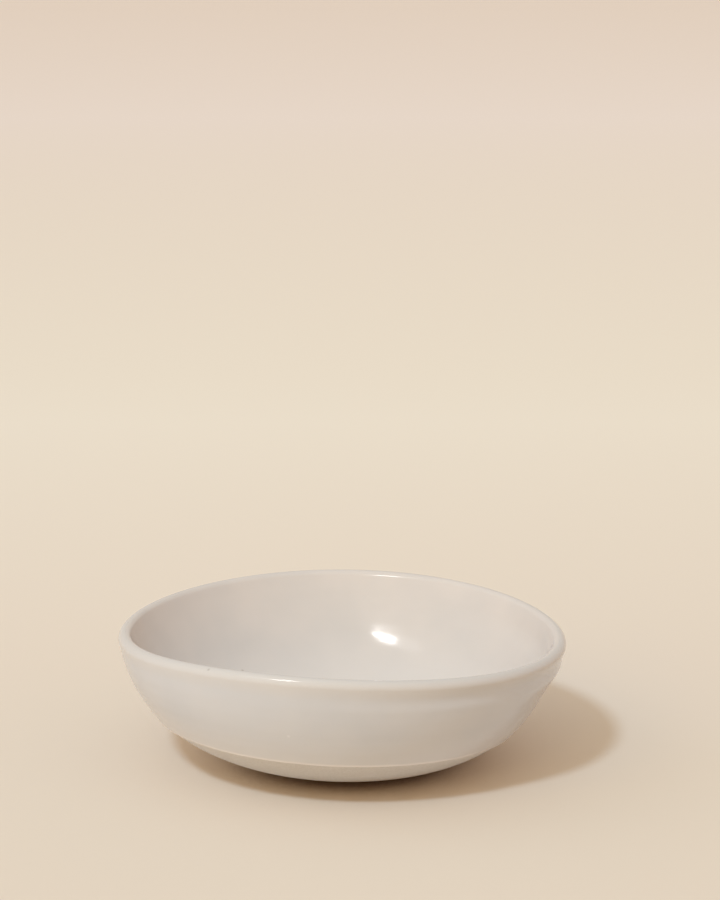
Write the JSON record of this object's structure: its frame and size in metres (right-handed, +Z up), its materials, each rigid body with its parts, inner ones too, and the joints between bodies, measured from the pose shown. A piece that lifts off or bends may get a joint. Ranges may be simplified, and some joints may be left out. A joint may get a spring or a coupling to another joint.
{
  "type": "bowl",
  "caption": "Shallow hand-thrown stoneware bowl with a rolled lip, pale gloss glaze inside and out, and bare clay above a small turned foot",
  "frame": {"origin": "on the table, straight below the middle of the rim", "axes": "+Z up; -Y is the front, the side that faces the camera in the picture; +X is to its right"},
  "size_m": [0.1556, 0.1611, 0.0504],
  "materials": {
    "bare_clay": "matte",
    "pale_glaze": "gloss"
  },
  "bodies": {
    "root": {"clay_body": "bare_clay", "liner_glaze": "pale_glaze", "outer_glaze": "pale_glaze"}
  },
  "joints": []
}
